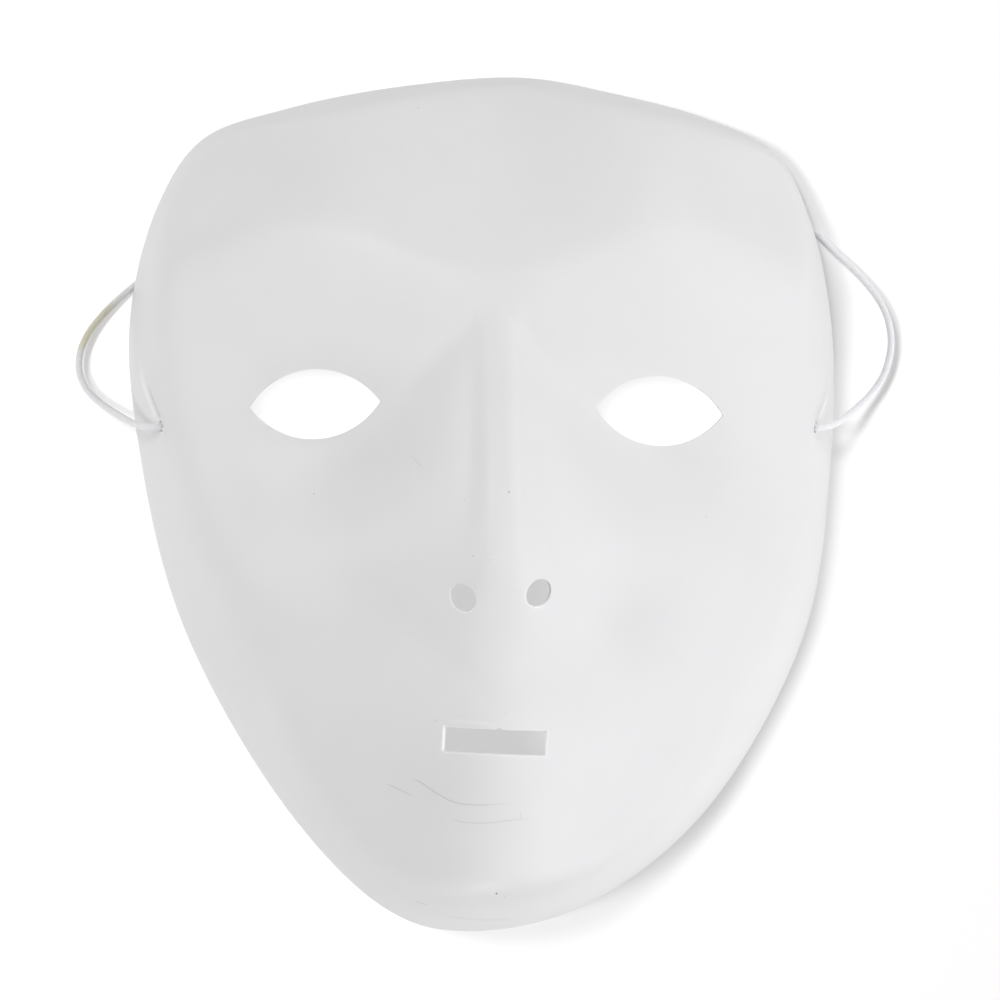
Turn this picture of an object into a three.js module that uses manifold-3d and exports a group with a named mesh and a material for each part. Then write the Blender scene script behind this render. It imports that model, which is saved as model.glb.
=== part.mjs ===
// A plain white craft mask: one thermoformed plastic sheet, trimmed round its rim and punched for the
// eyes, the nostrils, the mouth and the elastic, and a thin round elastic knotted inside both temples.
// Millimetres, +Z up. The mask lies face up on its rim, with the forehead towards +Y.

import * as THREE from 'three';
import { mergeVertices } from 'three/addons/utils/BufferGeometryUtils.js';
import Module from 'manifold-3d';

const wasm = await Module();
wasm.setup();

// Driving dimensions

const sheetThickness = 0.8;
const elasticDiameter = 1.7;
const cordHoleDiameter = 3;
const endGap = 0.3;

// The trimmed rim: rows across the mask as [y, left x, right x], and the tips of forehead and chin.
const rimRows = [
  [102, -23.5, 27.5],
  [96, -50.5, 52.5],
  [88, -71, 69.5],
  [73, -81, 78],
  [44, -88, 85],
  [14, -85.5, 85.5],
  [-31, -73.5, 79.5],
  [-77, -46, 54],
  [-100, -22, 23],
];
const foreheadTip = [7, 105];
const chinTip = [-6, -105];
const rimLift = { height: 5.5, from: 30, over: 40 }; // the forehead's rim stands clear of the table

// The side walls: rise over run at the temples, chin and forehead, and how sharply they turn into the face.
const wall = { side: 2.95, chin: 4.4, top: 4.5, turn: 6 };

// The face's middle line: its x at y = 0, and how far it leans to the left as y grows.
const middleLine = { x: 0.2, lean: -0.025 };

const front = {
  height: 48.5,
  bend: 12,
  halfWidth: 62,
  power: 2.3,
  chinDrop: 14,
  dropFrom: -45,
  dropOver: 50,
};
const brow = { middle: 54.5, crest: 65.8, crestX: 43, temple: 55, templeRun: 37, soft: 2.3 };
const forehead = { slope: 0.41, curl: 0.0044, sideFall: 4, halfWidth: 60, fallFrom: 50, fallOver: 40 };
const socket = { depth: 3, x: 39, y: 14.5, wide: 12.5, tall: 8.5 };
const noseFlank = {
  rise: 7.5,
  top: 50.5,
  bottom: -44,
  open: 0.66, // half width gained per millimetre below the top
  close: 1.2, // half width lost per millimetre towards the bottom
  corner: 4,
  fadeTop: 45,
  fadeLow: 40,
  power: 3.4,
};
const noseRidge = {
  x: 2, // from the middle line
  bridge: 0.6,
  tip: 2.6,
  start: 48,
  tipY: -14,
  fade: 22,
  fadeFrom: 58,
  under: 16.5,
  power: 3,
};
const noseBall = { thin: 5.5, wide: 9.4, from: 8, over: 25, flare: 1.6 };
const midFace = { rise: 12.2, bottom: -78, bottomSoft: 7, top: 30, topSoft: 20, halfWidth: 24, power: 2 };
const cheek = { rise: 5, x: 47, y: -22, wide: 14.5, tall: 15 };
const jaw = { depth: 6.5, x: 45, y: -72, wide: 15.5, tall: 21.5 };
const lip = { rise: 0.6, y: -51, wide: 10, tall: 3 };
const chin = { rise: 11.6, y: -95, wide: 18, tall: 12 };

// Punched holes, in plan: an eye is two arcs that meet in points.
const eyes = [
  { x: -42.2, y: 22.9, halfWidth: 15.6, up: 8.4, down: 8.1, tilt: 3.7 },
  { x: 39.9, y: 23.1, halfWidth: 15.6, up: 8.4, down: 8.1, tilt: -1.7 },
];
const nostrils = [
  { x: -6.4, y: -21.7, wide: 5.6, tall: 7, tilt: 30 },
  { x: 11.2, y: -20.2, wide: 5.6, tall: 7, tilt: -30 },
];
const mouth = { x: 2.05, y: -55.3, wide: 24.1, tall: 5.9, tilt: -1.2 };
const cordHoles = { left: [-79, 17.3], right: [79.5, 20.6] };
const punch = { low: 15, high: 85 };

// The elastic's route outside and behind the mask, as [x, y, z] of its centre line, from hole to hole.
const elasticRoute = [
  [-82.3, 17.1, 20.6],
  [-85.6, 17.8, 15.6],
  [-90, 20, 9.6],
  [-94, 22.5, 6.4],
  [-97.9, 26, 5],
  [-99.9, 30.3, 4.4],
  [-99.8, 35.3, 4.1],
  [-98, 39.8, 3.7],
  [-95.3, 43.7, 3.1],
  [-91.6, 47.8, 2.3],
  [-86.9, 52.1, 1.5],
  [-74, 62, 0.95],
  [-58, 72.5, 0.9],
  [-40, 80.5, 0.9],
  [-21, 85.5, 0.9],
  [-1, 87.6, 0.9],
  [19, 87.2, 0.9],
  [38, 84.5, 0.9],
  [55, 80, 0.9],
  [69, 75, 0.95],
  [79.8, 69.1, 1.3],
  [84.8, 64.6, 1.9],
  [89.4, 60.4, 2.7],
  [92.9, 56.7, 3.3],
  [95.8, 53, 3.9],
  [98, 48.8, 4.3],
  [99.1, 43.9, 4.6],
  [98.9, 39, 4.9],
  [97.3, 33.8, 5.4],
  [94.3, 29.4, 6.6],
  [90.7, 25.9, 9],
  [87.2, 23.2, 13],
  [83.4, 21.2, 17.9],
];
const elasticSteps = 72;
const elasticSides = 8;

// Grids

const hub = { x: 0, y: -6 };
const spokes = 76;
const rings = 22;
const spokeCrowding = 0.3; // draws the spokes together along the nose and the chin
const rimSamples = 1440;

const white = { color: 0xf4f4f2, roughness: 0.45, metalness: 0 };
const elasticWhite = { color: 0xe9e8e4, roughness: 0.8, metalness: 0 };

// Small helpers

const clamp = THREE.MathUtils.clamp;
const degrees = THREE.MathUtils.degToRad;

function ease(t) {
  const s = clamp(t, 0, 1);
  return s * s * (3 - 2 * s);
}

function bell(dx, dy, wide, tall) {
  return Math.exp(-0.5 * (dx / wide) ** 2 - 0.5 * (dy / tall) ** 2);
}

function softStep(t) {
  return 1 / (1 + Math.exp(-t));
}

// A ramp that is 0 well below zero and t well above it.
function softRamp(t, soft) {
  return soft * Math.log1p(Math.exp(t / soft));
}

// The rim in plan

const rimCurve = new THREE.CatmullRomCurve3(
  [
    foreheadTip,
    ...rimRows.map(([y, , right]) => [right, y]),
    chinTip,
    ...rimRows.map(([y, left]) => [left, y]).reverse(),
  ].map(([x, y]) => new THREE.Vector3(x, y, 0)),
  true,
  'centripetal',
);
const rimPoints = rimCurve.getPoints(rimSamples).slice(1);
const rimBox = new THREE.Box3().setFromPoints(rimPoints);

const rimPolar = rimPoints
  .map((point) => ({
    angle: Math.atan2(point.y - hub.y, point.x - hub.x),
    radius: Math.hypot(point.x - hub.x, point.y - hub.y),
  }))
  .sort((a, b) => a.angle - b.angle);

function rimRadius(angle) {
  const turned = THREE.MathUtils.euclideanModulo(angle + Math.PI, 2 * Math.PI) - Math.PI;
  const found = rimPolar.findIndex((sample) => sample.angle >= turned);
  const after = found < 0 ? rimPolar[0] : rimPolar[found];
  const before = rimPolar[(found < 0 ? 0 : found) - 1] ?? rimPolar[rimPolar.length - 1];
  const span = THREE.MathUtils.euclideanModulo(after.angle - before.angle, 2 * Math.PI);
  const part = THREE.MathUtils.euclideanModulo(turned - before.angle, 2 * Math.PI);
  return THREE.MathUtils.lerp(before.radius, after.radius, span > 0 ? part / span : 0);
}

// The formed face

function middleX(y) {
  return middleLine.x + middleLine.lean * y;
}

// The brow line arches over each eye, dips between them and falls towards the temples.
function browLine(side) {
  if (side > brow.crestX) {
    return brow.crest - (brow.crest - brow.temple) * ((side - brow.crestX) / brow.templeRun) ** 2;
  }
  return brow.middle + (brow.crest - brow.middle) * ease(side / brow.crestX);
}

// Above the brow line the forehead leans back, ever more steeply, and it falls away to both sides.
function foreheadHeight(side, y) {
  const above = y - browLine(side);
  const lean = softRamp(above, brow.soft);
  const sides = (side / forehead.halfWidth) ** 2 * ease((y - forehead.fallFrom) / forehead.fallOver);
  return -forehead.slope * lean - forehead.curl * lean ** 2 - forehead.sideFall * sides;
}

// The broad flanks open downwards from the brow and close again below the cheekbones; the narrow ridge and
// ball stand on them.
function noseHeight(across, side, y) {
  const opening = Math.max(noseFlank.open * (noseFlank.top - y), 0.5);
  const closing = Math.max(noseFlank.close * (y - noseFlank.bottom), 0.5);
  const bothWays = (opening ** -noseFlank.corner + closing ** -noseFlank.corner) ** (-1 / noseFlank.corner);
  const flankWidth = Math.max(bothWays, 3);
  const flankRise =
    noseFlank.rise *
    ease((noseFlank.top - y) / noseFlank.fadeTop) *
    ease((y - noseFlank.bottom) / noseFlank.fadeLow);
  const flank = flankRise * Math.exp(-((side / flankWidth) ** noseFlank.power));

  const down = clamp((noseRidge.start - y) / (noseRidge.start - noseRidge.tipY), 0, 1);
  const ridgeRise =
    THREE.MathUtils.lerp(noseRidge.bridge, noseRidge.tip, down) *
    ease((noseRidge.fadeFrom - y) / noseRidge.fade) *
    ease((y - noseRidge.tipY + noseRidge.under) / noseRidge.under);
  const flare = clamp((noseBall.from - y) / noseBall.over, 0, 1) ** noseBall.flare;
  const ridgeWidth = THREE.MathUtils.lerp(noseBall.thin, noseBall.wide, flare);
  const ridgeSide = Math.hypot(across - noseRidge.x, 1);
  return flank + ridgeRise * Math.exp(-((ridgeSide / ridgeWidth) ** noseRidge.power));
}

function faceHeight(x, y) {
  const across = x - middleX(y);
  const side = Math.hypot(across, 1);
  const drop = Math.max((front.dropFrom - y) / front.dropOver, 0) ** 2;
  const mound =
    midFace.rise *
    softStep((y - midFace.bottom) / midFace.bottomSoft) *
    softStep((midFace.top - y) / midFace.topSoft) *
    Math.exp(-((side / midFace.halfWidth) ** midFace.power));
  return (
    front.height -
    front.bend * (side / front.halfWidth) ** front.power -
    front.chinDrop * drop +
    foreheadHeight(side, y) +
    noseHeight(across, side, y) +
    mound -
    socket.depth * bell(side - socket.x, y - socket.y, socket.wide, socket.tall) -
    jaw.depth * bell(side - jaw.x, y - jaw.y, jaw.wide, jaw.tall) +
    cheek.rise * bell(side - cheek.x, y - cheek.y, cheek.wide, cheek.tall) +
    lip.rise * bell(across, y - lip.y, lip.wide, lip.tall) +
    chin.rise * bell(across, y - chin.y, chin.wide, chin.tall)
  );
}

function wallSlope(angle) {
  const up = Math.sin(angle);
  if (up > 0) {
    return THREE.MathUtils.lerp(wall.side, wall.top, ease((up - 0.35) / 0.6));
  }
  return THREE.MathUtils.lerp(wall.side, wall.chin, ease((-up - 0.6) / 0.4));
}

function rimHeight(y) {
  return rimLift.height * ease((y - rimLift.from) / rimLift.over);
}

// The outer surface: the wall rises from the rim and turns smoothly into the face.
function outerHeight(x, y) {
  const angle = Math.atan2(y - hub.y, x - hub.x);
  const inside = rimRadius(angle) - Math.hypot(x - hub.x, y - hub.y);
  const lift = rimHeight(y);
  const faceRise = Math.max(faceHeight(x, y) - lift, 3);
  const wallRise = Math.max(wallSlope(angle) * inside, 1e-3);
  return lift + (faceRise ** -wall.turn + wallRise ** -wall.turn) ** (-1 / wall.turn);
}

function outerNormal(x, y) {
  const step = 0.2;
  const slopeX = (outerHeight(x + step, y) - outerHeight(x - step, y)) / (2 * step);
  const slopeY = (outerHeight(x, y + step) - outerHeight(x, y - step)) / (2 * step);
  return new THREE.Vector3(-slopeX, -slopeY, 1).normalize();
}

// Solids

function toManifold(geometry) {
  const bare = geometry.index ? geometry : geometry.clone();
  bare.deleteAttribute('normal');
  bare.deleteAttribute('uv');
  const merged = mergeVertices(bare, 1e-4);
  return new wasm.Manifold(
    new wasm.Mesh({
      numProp: 3,
      vertProperties: new Float32Array(merged.attributes.position.array),
      triVerts: new Uint32Array(merged.index.array),
    }),
  );
}

function toGeometry(manifold) {
  const mesh = manifold.getMesh();
  const geometry = new THREE.BufferGeometry();
  geometry.setAttribute('position', new THREE.BufferAttribute(new Float32Array(mesh.vertProperties), 3));
  geometry.setIndex(Array.from(mesh.triVerts));
  geometry.computeVertexNormals();
  return geometry;
}

// The whole sheet before punching: a polar net outside, the same net a sheet's thickness in, and the cut rim.
function sheetGeometry() {
  const outer = [];
  const inner = [];
  for (let ring = 0; ring <= rings; ring += 1) {
    const spokesHere = ring === 0 ? 1 : spokes;
    for (let spoke = 0; spoke < spokesHere; spoke += 1) {
      const even = (2 * Math.PI * spoke) / spokes;
      const angle = even + spokeCrowding * Math.sin(2 * even);
      const radius = (rimRadius(angle) * ring) / rings;
      const x = hub.x + radius * Math.cos(angle);
      const y = hub.y + radius * Math.sin(angle);
      if (ring === rings) {
        const z = rimHeight(y);
        const before = rimPlace(angle - 0.01);
        const along = rimPlace(angle + 0.01).sub(before).normalize();
        outer.push([x, y, z]);
        inner.push([x - along.y * sheetThickness, y + along.x * sheetThickness, z]);
      } else {
        const normal = outerNormal(x, y).multiplyScalar(sheetThickness);
        const z = outerHeight(x, y);
        outer.push([x, y, z]);
        inner.push([x - normal.x, y - normal.y, z - normal.z]);
      }
    }
  }
  const shift = outer.length;
  const faces = [];
  const at = (ring, spoke) => (ring === 0 ? 0 : 1 + (ring - 1) * spokes + (spoke % spokes));
  const addBoth = (a, b, c) => {
    faces.push(a, b, c, a + shift, c + shift, b + shift);
  };
  for (let spoke = 0; spoke < spokes; spoke += 1) {
    addBoth(0, at(1, spoke), at(1, spoke + 1));
    for (let ring = 1; ring < rings; ring += 1) {
      addBoth(at(ring, spoke), at(ring + 1, spoke), at(ring + 1, spoke + 1));
      addBoth(at(ring, spoke), at(ring + 1, spoke + 1), at(ring, spoke + 1));
    }
    const here = at(rings, spoke);
    const next = at(rings, spoke + 1);
    faces.push(here, here + shift, next + shift, here, next + shift, next);
  }
  const geometry = new THREE.BufferGeometry();
  const corners = new Float32Array([...outer, ...inner].flat());
  geometry.setAttribute('position', new THREE.BufferAttribute(corners, 3));
  geometry.setIndex(faces);
  return geometry;
}

function rimPlace(angle) {
  const radius = rimRadius(angle);
  return new THREE.Vector3(hub.x + radius * Math.cos(angle), hub.y + radius * Math.sin(angle), 0);
}

// A punch is an upright prism that is pushed through the face.
function punchGeometry(shape, { x, y, tilt }) {
  const geometry = new THREE.ExtrudeGeometry(shape, {
    depth: punch.high - punch.low,
    bevelEnabled: false,
    curveSegments: 10,
  });
  geometry.rotateZ(degrees(tilt));
  geometry.translate(x, y, punch.low);
  return geometry;
}

function eyeShape({ halfWidth, up, down }) {
  const shape = new THREE.Shape();
  const arc = (rise, turn) => {
    const radius = (halfWidth ** 2 + rise ** 2) / (2 * rise);
    const half = Math.asin(halfWidth / radius);
    const middle = (turn * Math.PI) / 2;
    shape.absarc(0, turn * (rise - radius), radius, middle - half, middle + half, false);
  };
  arc(up, 1);
  arc(down, -1);
  return shape;
}

function nostrilShape({ wide, tall }) {
  const shape = new THREE.Shape();
  shape.absellipse(0, 0, wide / 2, tall / 2, 0, 2 * Math.PI, false);
  return shape;
}

function slotShape({ wide, tall }) {
  const shape = new THREE.Shape();
  shape.moveTo(-wide / 2, -tall / 2);
  shape.lineTo(wide / 2, -tall / 2);
  shape.lineTo(wide / 2, tall / 2);
  shape.lineTo(-wide / 2, tall / 2);
  shape.closePath();
  return shape;
}

// A cord hole's place on the outside of the wall, and the way out of it.
function holeSeat([x, y]) {
  return { place: new THREE.Vector3(x, y, outerHeight(x, y)), out: outerNormal(x, y) };
}

function cordHoleGeometry(seat) {
  const geometry = new THREE.CylinderGeometry(cordHoleDiameter / 2, cordHoleDiameter / 2, 8, 12);
  const turn = new THREE.Quaternion().setFromUnitVectors(new THREE.Vector3(0, 1, 0), seat.out);
  geometry.applyQuaternion(turn);
  geometry.translate(seat.place.x, seat.place.y, seat.place.z);
  return geometry;
}

const seats = { left: holeSeat(cordHoles.left), right: holeSeat(cordHoles.right) };

function maskShell() {
  const punches = [
    ...eyes.map((eye) => punchGeometry(eyeShape(eye), eye)),
    ...nostrils.map((nostril) => punchGeometry(nostrilShape(nostril), nostril)),
    punchGeometry(slotShape(mouth), mouth),
    ...Object.values(seats).map(cordHoleGeometry),
  ];
  const sheet = toManifold(sheetGeometry());
  const solid = punches.reduce((left, tool) => left.subtract(toManifold(tool)), sheet);
  const mesh = new THREE.Mesh(toGeometry(solid), new THREE.MeshStandardMaterial(white));
  mesh.name = 'mask_shell';
  return mesh;
}

function inwards(seat, depth) {
  return seat.place.clone().addScaledVector(seat.out, -depth);
}

// The elastic runs from just inside one hole, out, round behind the mask and in at the other.
function elasticCord() {
  const endDepth = sheetThickness + 0.1;
  const path = new THREE.CatmullRomCurve3(
    [
      inwards(seats.left, endDepth),
      inwards(seats.left, -0.8),
      ...elasticRoute.map(([x, y, z]) => new THREE.Vector3(x, y, z)),
      inwards(seats.right, -0.8),
      inwards(seats.right, endDepth),
    ],
    false,
    'centripetal',
  );
  const section = new THREE.Shape();
  for (let side = 0; side < elasticSides; side += 1) {
    const angle = (2 * Math.PI * side) / elasticSides;
    const x = (elasticDiameter / 2) * Math.cos(angle);
    const y = (elasticDiameter / 2) * Math.sin(angle);
    side === 0 ? section.moveTo(x, y) : section.lineTo(x, y);
  }
  section.closePath();
  const geometry = new THREE.ExtrudeGeometry(section, { steps: elasticSteps, extrudePath: path });
  const mesh = new THREE.Mesh(geometry, new THREE.MeshStandardMaterial(elasticWhite));
  mesh.name = 'elastic_cord';
  return mesh;
}

// A stop knot: an overhand knot drawn up flat against the inside of the wall.
function stopKnot(seat, name) {
  const knot = { radius: 1.75, strand: 0.8, steps: 30, sides: 5 };
  const topAt = sheetThickness + 0.1 + endGap;
  const geometry = new THREE.TorusKnotGeometry(knot.radius, knot.strand, knot.steps, knot.sides, 2, 3);
  const mesh = new THREE.Mesh(geometry, new THREE.MeshStandardMaterial(elasticWhite));
  mesh.quaternion.setFromUnitVectors(new THREE.Vector3(0, 0, 1), seat.out);
  mesh.position.copy(inwards(seat, topAt + knot.radius / 2 + knot.strand));
  mesh.name = name;
  return mesh;
}

const group = new THREE.Group();
group.add(
  maskShell(),
  elasticCord(),
  stopKnot(seats.left, 'knot_left'),
  stopKnot(seats.right, 'knot_right'),
);

// The origin lies on the table under the middle of the rim's box.
group.position.set(-(rimBox.min.x + rimBox.max.x) / 2, -(rimBox.min.y + rimBox.max.y) / 2, 0);

export default group;
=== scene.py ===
import math

import bpy
import numpy as np
from mathutils import Matrix, Vector
from mathutils.geometry import delaunay_2d_cdt


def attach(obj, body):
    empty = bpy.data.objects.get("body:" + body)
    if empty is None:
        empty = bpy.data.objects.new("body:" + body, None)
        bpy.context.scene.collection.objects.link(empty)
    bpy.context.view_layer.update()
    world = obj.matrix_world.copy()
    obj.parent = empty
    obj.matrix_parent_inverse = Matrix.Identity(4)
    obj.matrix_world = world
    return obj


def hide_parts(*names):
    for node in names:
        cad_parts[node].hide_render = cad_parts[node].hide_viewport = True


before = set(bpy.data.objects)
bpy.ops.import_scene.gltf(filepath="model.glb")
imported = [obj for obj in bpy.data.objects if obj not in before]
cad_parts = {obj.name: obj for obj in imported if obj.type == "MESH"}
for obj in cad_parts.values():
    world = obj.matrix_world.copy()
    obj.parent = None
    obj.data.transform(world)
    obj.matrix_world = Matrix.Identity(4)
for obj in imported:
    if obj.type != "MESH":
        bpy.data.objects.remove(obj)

# A plain white craft mask, lying face up on a pale table. Sizes are in millimetres until a mesh is made.
mm = 0.001
tau = 2 * math.pi
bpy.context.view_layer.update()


# Small helpers

def ease(t):
    t = np.clip(t, 0, 1)
    return t * t * (3 - 2 * t)


def bell(dx, dy, wide, tall):
    return np.exp(-0.5 * (dx / wide) ** 2 - 0.5 * (dy / tall) ** 2)


def softStep(t):
    return 1 / (1 + np.exp(-t))


def softRamp(t, soft):
    return soft * np.logaddexp(0, t / soft)


# Each row as a vector one long
def unit(rows):
    return rows / np.linalg.norm(rows, axis=-1, keepdims=True)


# How far along a line each of its points is
def runLengths(line):
    return np.concatenate([[0], np.cumsum(np.linalg.norm(np.diff(line, axis=0), axis=1))])


# A smooth curve through points, the same one that the part's source draws.
def smoothLine(points, perSpan, closed):
    points = np.array(points, float)
    count = len(points)
    if closed:
        padded = np.concatenate([points[-1:], points, points[:2]])
    else:
        padded = np.concatenate([[2 * points[0] - points[1]], points, [2 * points[-1] - points[-2]]])
    drawn = []
    for span in range(count if closed else count - 1):
        p0, p1, p2, p3 = padded[span:span + 4]
        d0, d1, d2 = [np.linalg.norm(b - a) ** 0.5 for a, b in ((p0, p1), (p1, p2), (p2, p3))]
        leave = ((p1 - p0) / d0 - (p2 - p0) / (d0 + d1) + (p2 - p1) / d1) * d1
        arrive = ((p2 - p1) / d1 - (p3 - p1) / (d1 + d2) + (p3 - p2) / d2) * d1
        t = (np.arange(perSpan) / perSpan)[:, None]
        drawn.append((2 * t ** 3 - 3 * t ** 2 + 1) * p1 + (t ** 3 - 2 * t ** 2 + t) * leave
                     + (3 * t ** 2 - 2 * t ** 3) * p2 + (t ** 3 - t ** 2) * arrive)
    if not closed:
        drawn.append(points[-1:])
    return np.concatenate(drawn)


def makeObject(name, points, faces, material, slot):
    mesh = bpy.data.meshes.new(name)
    mesh.from_pydata((np.array(points) * mm).tolist(), [], faces)
    mesh.polygons.foreach_set("use_smooth", [True] * len(mesh.polygons))
    mesh.materials.append(material)
    mesh.validate()
    piece = bpy.data.objects.new(name, mesh)
    bpy.context.scene.collection.objects.link(piece)
    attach(piece, "root")
    return piece


# sRGB hex to the linear colour that Blender's sockets take
def hexColour(text):
    parts = [int(text[i:i + 2], 16) / 255 for i in (1, 3, 5)]
    return tuple(c / 12.92 if c <= 0.04045 else ((c + 0.055) / 1.055) ** 2.4 for c in parts) + (1,)


# Adds a node with its settings; an input given as a socket is linked, any other is set on the node.
def addNode(tree, kind, inputs=None, **settings):
    node = tree.nodes.new(kind)
    for name, value in settings.items():
        setattr(node, name, value)
    for name, value in (inputs or {}).items():
        if isinstance(value, bpy.types.NodeSocket):
            tree.links.new(value, node.inputs[name])
        else:
            node.inputs[name].default_value = value
    return node


def emptyMaterial(name):
    material = bpy.data.materials.new(name)
    material.use_nodes = True
    material.node_tree.nodes.clear()
    return material, material.node_tree


# The mask's form, from the same named values as the part's source, with the brow line and the nose's ridge
# a little crisper. x runs to the picture's right and y to the forehead. "soft" rounds an edge over, and a
# high "power" makes a flat top with steep sides.

rimRows = [  # y, left x, right x
    (102, -23.5, 27.5),
    (96, -50.5, 52.5),
    (88, -71, 69.5),
    (73, -81, 78),
    (44, -88, 85),
    (14, -85.5, 85.5),
    (-31, -73.5, 79.5),
    (-77, -46, 54),
    (-100, -22, 23),
]
foreheadTip = (7, 105)
chinTip = (-6, -105)
rimLift = dict(height=5.5, start=30, over=40)
wall = dict(
    side=2.95, chin=4.4, top=4.5,     # slopes
    topFrom=0.35, topOver=0.6,        # where the side's slope gives way to the top's, as a sine round the hub
    chinFrom=0.6, chinOver=0.4,       # and to the chin's
    turn=6,                           # how sharply the wall turns into the face
    leastFace=3, leastWall=0.001,     # keep the sum of the two defined
)
middleLine = dict(x=0.2, lean=-0.025, soft=1)
front = dict(height=48.5, bend=12, halfWidth=62, power=2.3, chinDrop=14, dropFrom=-45, dropOver=50)
brow = dict(middle=54.5, crest=65.8, crestX=43, temple=55, templeRun=37, soft=1.3)
forehead = dict(slope=0.41, curl=0.0044, sideFall=4, halfWidth=60, fallFrom=50, fallOver=40)
socket = dict(depth=3, x=39, y=14.5, wide=12.5, tall=8.5)
noseFlank = dict(rise=7.5, top=50.5, bottom=-44, open=0.66, close=1.2, corner=4,
                 leastRoom=0.5, leastWidth=3, fadeTop=45, fadeLow=40, power=3.4)
noseRidge = dict(x=2, bridge=0.8, tip=3, start=48, tipY=-14, fade=22, fadeFrom=58, under=16.5, power=4)
noseBall = dict(thin=5.5, wide=9.4, start=8, over=25, flare=1.6)
midFace = dict(rise=12.2, bottom=-78, bottomSoft=7, top=30, topSoft=20, halfWidth=24, power=2)
cheek = dict(rise=5, x=47, y=-22, wide=14.5, tall=15)
jaw = dict(depth=6.5, x=45, y=-72, wide=15.5, tall=21.5)
lip = dict(rise=0.6, y=-51, wide=10, tall=3)
chin = dict(rise=11.6, y=-95, wide=18, tall=12)
hub = np.array([0.0, -6.0])     # where the rim's angles are measured from


def fromHub(x, y):
    return np.arctan2(y - hub[1], x - hub[0]), np.hypot(x - hub[0], y - hub[1])


rimLine = smoothLine(
    [foreheadTip] + [(right, y) for y, left, right in rimRows]
    + [chinTip] + [(left, y) for y, left, right in reversed(rimRows)], perSpan=72, closed=True)
# Puts the origin under the middle of the rim's box
shift = -(rimLine.min(axis=0) + rimLine.max(axis=0)) / 2
toOrigin = np.array([shift[0], shift[1], 0])
rimAngles, rimRadii = fromHub(rimLine[:, 0], rimLine[:, 1])


def rimRadius(angle):
    return np.interp(angle, rimAngles, rimRadii, period=tau)


def insideRim(x, y):
    angle, radius = fromHub(x, y)
    return rimRadius(angle) - radius


def middleX(y):
    return middleLine["x"] + middleLine["lean"] * y


# The brow line arches over each eye, dips between them and falls towards the temples.
def browLine(side):
    inner = brow["middle"] + (brow["crest"] - brow["middle"]) * ease(side / brow["crestX"])
    past = (side - brow["crestX"]) / brow["templeRun"]
    outer = brow["crest"] - (brow["crest"] - brow["temple"]) * past ** 2
    return np.where(side > brow["crestX"], outer, inner)


def foreheadHeight(side, y):
    above = y - browLine(side)
    lean = softRamp(above, brow["soft"])
    sides = (side / forehead["halfWidth"]) ** 2 * ease((y - forehead["fallFrom"]) / forehead["fallOver"])
    return -forehead["slope"] * lean - forehead["curl"] * lean ** 2 - forehead["sideFall"] * sides


def noseHeight(across, side, y):
    opening = np.maximum(noseFlank["open"] * (noseFlank["top"] - y), noseFlank["leastRoom"])
    closing = np.maximum(noseFlank["close"] * (y - noseFlank["bottom"]), noseFlank["leastRoom"])
    corner = noseFlank["corner"]
    flankWidth = (opening ** -corner + closing ** -corner) ** (-1 / corner)
    flankWidth = np.maximum(flankWidth, noseFlank["leastWidth"])
    flankRise = (noseFlank["rise"] * ease((noseFlank["top"] - y) / noseFlank["fadeTop"])
                 * ease((y - noseFlank["bottom"]) / noseFlank["fadeLow"]))
    flank = flankRise * np.exp(-(side / flankWidth) ** noseFlank["power"])
    down = np.clip((noseRidge["start"] - y) / (noseRidge["start"] - noseRidge["tipY"]), 0, 1)
    ridgeRise = ((noseRidge["bridge"] + (noseRidge["tip"] - noseRidge["bridge"]) * down)
                 * ease((noseRidge["fadeFrom"] - y) / noseRidge["fade"])
                 * ease((y - noseRidge["tipY"] + noseRidge["under"]) / noseRidge["under"]))
    flare = np.clip((noseBall["start"] - y) / noseBall["over"], 0, 1) ** noseBall["flare"]
    ridgeWidth = noseBall["thin"] + (noseBall["wide"] - noseBall["thin"]) * flare
    ridgeSide = np.hypot(across - noseRidge["x"], middleLine["soft"])
    return flank + ridgeRise * np.exp(-(ridgeSide / ridgeWidth) ** noseRidge["power"])


def faceHeight(x, y):
    across = x - middleX(y)
    side = np.hypot(across, middleLine["soft"])
    drop = np.maximum((front["dropFrom"] - y) / front["dropOver"], 0) ** 2
    mound = (midFace["rise"]
             * softStep((y - midFace["bottom"]) / midFace["bottomSoft"])
             * softStep((midFace["top"] - y) / midFace["topSoft"])
             * np.exp(-(side / midFace["halfWidth"]) ** midFace["power"]))
    return (front["height"]
            - front["bend"] * (side / front["halfWidth"]) ** front["power"]
            - front["chinDrop"] * drop
            + foreheadHeight(side, y)
            + noseHeight(across, side, y)
            + mound
            - socket["depth"] * bell(side - socket["x"], y - socket["y"], socket["wide"], socket["tall"])
            - jaw["depth"] * bell(side - jaw["x"], y - jaw["y"], jaw["wide"], jaw["tall"])
            + cheek["rise"] * bell(side - cheek["x"], y - cheek["y"], cheek["wide"], cheek["tall"])
            + lip["rise"] * bell(across, y - lip["y"], lip["wide"], lip["tall"])
            + chin["rise"] * bell(across, y - chin["y"], chin["wide"], chin["tall"]))


def wallSlope(angle):
    up = np.sin(angle)
    upper = wall["side"] + (wall["top"] - wall["side"]) * ease((up - wall["topFrom"]) / wall["topOver"])
    lower = wall["side"] + (wall["chin"] - wall["side"]) * ease((-up - wall["chinFrom"]) / wall["chinOver"])
    return np.where(up > 0, upper, lower)


def rimHeight(y):
    return rimLift["height"] * ease((y - rimLift["start"]) / rimLift["over"])


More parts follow.
